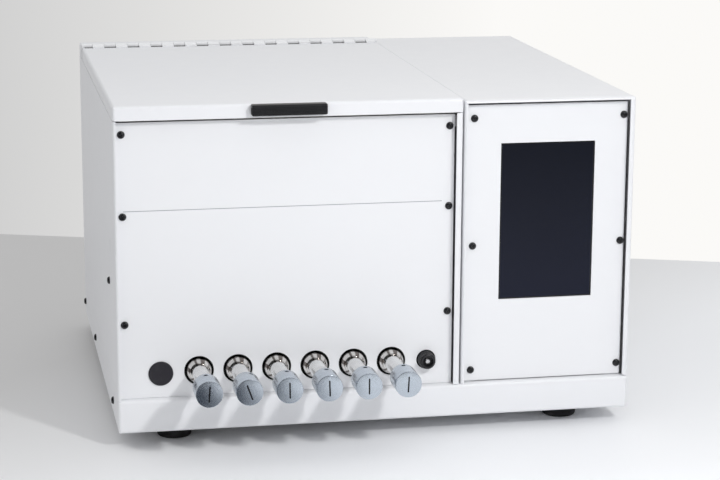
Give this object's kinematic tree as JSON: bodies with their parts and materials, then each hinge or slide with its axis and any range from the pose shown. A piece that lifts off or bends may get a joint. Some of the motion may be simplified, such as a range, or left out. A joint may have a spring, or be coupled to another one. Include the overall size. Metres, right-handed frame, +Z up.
{
  "type": "gas chromatograph",
  "caption": "Bench gas chromatograph with a hinged lid over the column oven, a row of front flow-control knobs and a touch display housing.",
  "frame": {"origin": "on the bench surface, under the middle of the whole instrument's bounding box", "axes": "+X to the instrument's right as seen from its front, +Y to its back, +Z up"},
  "size_m": [0.5028, 0.545, 0.3305],
  "materials": {
    "white_paint": "smooth white powder coat",
    "white_panel": "smooth white front panel",
    "black_paint": "black painted steel",
    "black_screw": "black oxide screws",
    "steel": "bare steel",
    "stainless": "stainless oven sheet",
    "galvanised": "zinc plated chassis sheet",
    "aluminium": "turned aluminium",
    "anodised": "anodised aluminium knob",
    "brass": "turned brass",
    "wool": "ceramic fibre",
    "rubber": "moulded rubber",
    "black_plastic": "moulded plastic",
    "glass": "touch glass",
    "board": "circuit board"
  },
  "bodies": {
    "case": {"base_pan": "white_paint", "rubber_feet": "rubber", "foot_screws": "steel", "case_screws": "black_screw", "cabinet_left_side": "white_paint", "cabinet_right_side": "white_paint", "oven_rear_panel": "white_paint", "rear_top_cover": "white_paint", "oven_front_panel": "white_panel", "panel_frames": "black_paint", "hole_plug": "black_plastic", "hinge_fixed_leaf": "white_paint", "hinge_pin": "steel", "oven_chassis": "galvanised", "oven_liner": "stainless", "oven_insulation": "wool", "oven_heater": "stainless", "fan_baffle": "stainless", "fan_motor": "black_paint", "column_a": "steel", "column_b": "steel", "column_nuts": "brass", "column_bracket": "galvanised", "sampling_valve": "steel", "valve_actuator": "black_plastic", "detector_block": "steel", "detector_jacket": "wool", "controller_bodies": "aluminium", "controller_bonnets": "aluminium", "purge_valve_body": "steel", "gas_manifold": "aluminium", "gas_lines": "steel", "bulkhead_fittings": "steel", "housing_shell": "white_paint", "display_panel": "white_panel", "touch_display": "glass", "display_module": "galvanised", "control_board": "board", "power_supply": "galvanised", "electronics_rear_panel": "white_paint", "power_inlet": "black_plastic", "switch_body": "black_plastic"},
    "lid": {"lid_shell": "white_paint", "lid_insulation": "wool", "lid_liner": "stainless", "lid_seal": "wool", "lid_handle": "black_plastic", "handle_screws": "steel", "hinge_lid_leaf": "white_paint"},
    "oven_fan": {"fan_impeller": "stainless", "fan_shaft": "steel"},
    "valve_rotor": {"valve_rotor": "steel"},
    "control_knob_1": {"control_knob_1": "anodised"},
    "control_knob_2": {"control_knob_2": "anodised"},
    "control_knob_3": {"control_knob_3": "anodised"},
    "control_knob_4": {"control_knob_4": "anodised"},
    "control_knob_5": {"control_knob_5": "anodised"},
    "control_knob_6": {"control_knob_6": "anodised"},
    "purge_knob": {"purge_knob": "black_plastic"},
    "power_rocker": {"switch_rocker": "black_plastic"}
  },
  "joints": [
    {"name": "lid_hinge", "type": "hinge", "parent": "case", "child": "lid", "pos_m": [-0.0847, 0.2135, 0.3273], "axis": [-1, 0, 0], "range_deg": [0, 100]},
    {"name": "fan_spin", "type": "hinge", "parent": "case", "child": "oven_fan", "pos_m": [-0.0847, 0.1375, 0.1816], "axis": [0, -1, 0], "continuous": true},
    {"name": "valve_turn", "type": "hinge", "parent": "case", "child": "valve_rotor", "pos_m": [-0.0847, -0.1405, 0.2056], "axis": [0, -1, 0], "range_deg": [0, 36]},
    {"name": "control_knob_1_turn", "type": "hinge", "parent": "case", "child": "control_knob_1", "pos_m": [-0.1716, -0.2595, 0.072], "axis": [0, -1, 0], "range_deg": [-1800, 1800]},
    {"name": "control_knob_2_turn", "type": "hinge", "parent": "case", "child": "control_knob_2", "pos_m": [-0.13455, -0.2595, 0.072], "axis": [0, -1, 0], "range_deg": [-1800, 1800]},
    {"name": "control_knob_3_turn", "type": "hinge", "parent": "case", "child": "control_knob_3", "pos_m": [-0.0975, -0.2595, 0.072], "axis": [0, -1, 0], "range_deg": [-1800, 1800]},
    {"name": "control_knob_4_turn", "type": "hinge", "parent": "case", "child": "control_knob_4", "pos_m": [-0.06045, -0.2595, 0.072], "axis": [0, -1, 0], "range_deg": [-1800, 1800]},
    {"name": "control_knob_5_turn", "type": "hinge", "parent": "case", "child": "control_knob_5", "pos_m": [-0.0234, -0.2595, 0.072], "axis": [0, -1, 0], "range_deg": [-1800, 1800]},
    {"name": "control_knob_6_turn", "type": "hinge", "parent": "case", "child": "control_knob_6", "pos_m": [0.01365, -0.2595, 0.072], "axis": [0, -1, 0], "range_deg": [-1800, 1800]},
    {"name": "purge_turn", "type": "hinge", "parent": "case", "child": "purge_knob", "pos_m": [0.04805, -0.2005, 0.072], "axis": [0, -1, 0], "range_deg": [0, 720]},
    {"name": "power_rock", "type": "hinge", "parent": "case", "child": "power_rocker", "pos_m": [0.203, 0.2515, 0.1336], "axis": [1, 0, 0], "range_deg": [0, 16]}
  ]
}
